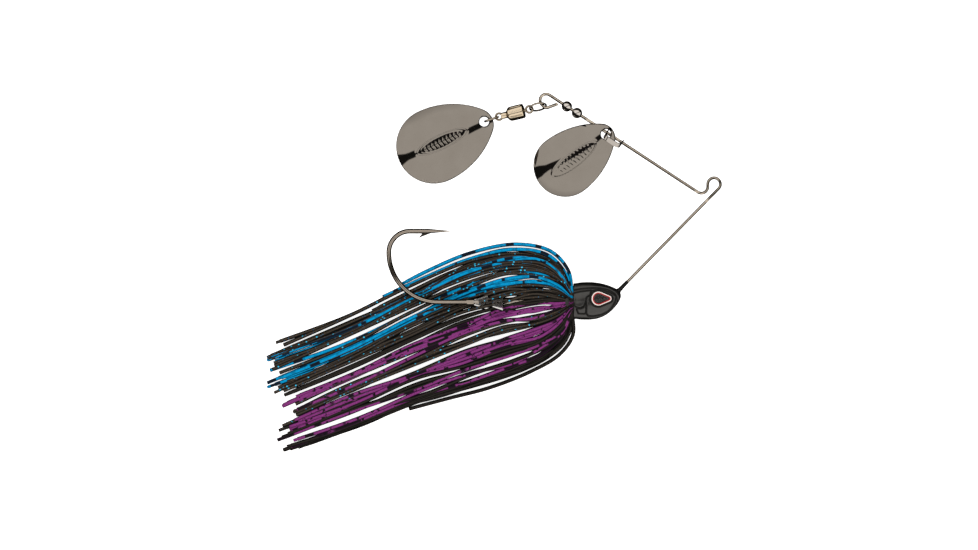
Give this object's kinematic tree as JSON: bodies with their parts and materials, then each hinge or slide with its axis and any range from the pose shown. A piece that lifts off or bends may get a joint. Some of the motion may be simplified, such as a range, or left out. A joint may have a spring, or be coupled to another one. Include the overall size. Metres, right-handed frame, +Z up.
{
  "type": "spinnerbait fishing lure",
  "caption": "Safety-pin style spinnerbait: weighted head with skirted hook, bent wire arm, beads, clevis blade and swivel blade.",
  "frame": {"origin": "middle of the footprint on the ground, with the lure lying on its side", "axes": "+X towards the nose and line tie, +Y from the hook shank towards the blade arm, +Z up, square to the lure's own plane"},
  "size_m": [0.1324, 0.104, 0.0156],
  "materials": {
    "head_paint": "gloss",
    "eye_print": "gloss",
    "eye_resin": "gloss",
    "hook_steel": "polished",
    "wire_steel": "polished",
    "bead_metal": "polished",
    "clevis_metal": "polished",
    "ring_metal": "polished",
    "swivel_metal": "polished",
    "blade_nickel": "polished",
    "strand_flake": "satin",
    "strand_blue": "satin",
    "strand_purple": "satin",
    "strand_black": "satin",
    "band_rubber": "matte",
    "keeper_plastic": "gloss"
  },
  "bodies": {
    "root": {"head": "head_paint", "eye_foil_upper": "eye_print", "eye_foil_lower": "eye_print", "eye_dome_upper": "eye_resin", "eye_dome_lower": "eye_resin", "hook": "hook_steel", "wire_form": "wire_steel", "skirt_band": "band_rubber", "skirt_blue_barred": "strand_blue", "skirt_black_flake": "strand_flake", "skirt_purple_barred": "strand_purple", "skirt_black": "strand_black", "trailer_keeper": "keeper_plastic"},
    "bead_rear": {"bead_rear": "bead_metal"},
    "bead_front": {"bead_front": "bead_metal"},
    "clevis": {"clevis": "clevis_metal"},
    "blade_small": {"blade_small": "blade_nickel"},
    "loop_ring": {"loop_ring": "ring_metal"},
    "swivel_stem": {"swivel_stem": "swivel_metal"},
    "swivel_barrel": {"swivel_barrel": "swivel_metal", "swivel_cap": "swivel_metal", "swivel_rear_eye": "swivel_metal", "swivel_balls": "bead_metal"},
    "blade_ring": {"blade_ring": "ring_metal"},
    "blade_large": {"blade_large": "blade_nickel"}
  },
  "joints": [
    {"name": "bead_front_slide", "type": "slide", "parent": "root", "child": "bead_front", "axis": [0.8368, -0.5476, 0], "range_m": [-0.00045, 0.0215]},
    {"name": "bead_rear_spin", "type": "hinge", "parent": "root", "child": "bead_rear", "pos_m": [0.02198, 0.04808, 0.0049], "axis": [-0.8368, 0.5476, 0], "continuous": true},
    {"name": "clevis_spin", "type": "hinge", "parent": "bead_front", "child": "clevis", "pos_m": [0.03336, 0.04063, 0.0049], "axis": [-0.8368, 0.5476, 0], "continuous": true},
    {"name": "blade_small_swing", "type": "hinge", "parent": "clevis", "child": "blade_small", "pos_m": [0.03304, 0.04013, 0.00645], "axis": [-0.8368, 0.5476, 0], "range_deg": [-40, 18]},
    {"name": "loop_ring_swing", "type": "hinge", "parent": "root", "child": "loop_ring", "pos_m": [0.01508, 0.04835, 0.0049], "axis": [0.6691, -0.7431, 0], "range_deg": [-40, 45]},
    {"name": "swivel_stem_swing", "type": "hinge", "parent": "loop_ring", "child": "swivel_stem", "pos_m": [0.01152, 0.04733, 0.00422], "axis": [0.2697, -0.347, -0.8982], "range_deg": [-75, 60]},
    {"name": "swivel_spin", "type": "hinge", "parent": "swivel_stem", "child": "swivel_barrel", "pos_m": [0.01128, 0.04726, 0.00417], "axis": [-0.9527, -0.2217, -0.2079], "continuous": true},
    {"name": "blade_ring_swing", "type": "hinge", "parent": "swivel_barrel", "child": "blade_ring", "pos_m": [0.00175, 0.04505, 0.0021], "axis": [0.2267, -0.974, 0], "range_deg": [-40, 60]},
    {"name": "blade_large_swing", "type": "hinge", "parent": "blade_ring", "child": "blade_large", "pos_m": [0.00011, 0.04462, 0.00245], "axis": [0.4305, -0.9026, 0], "range_deg": [-90, 90]}
  ]
}
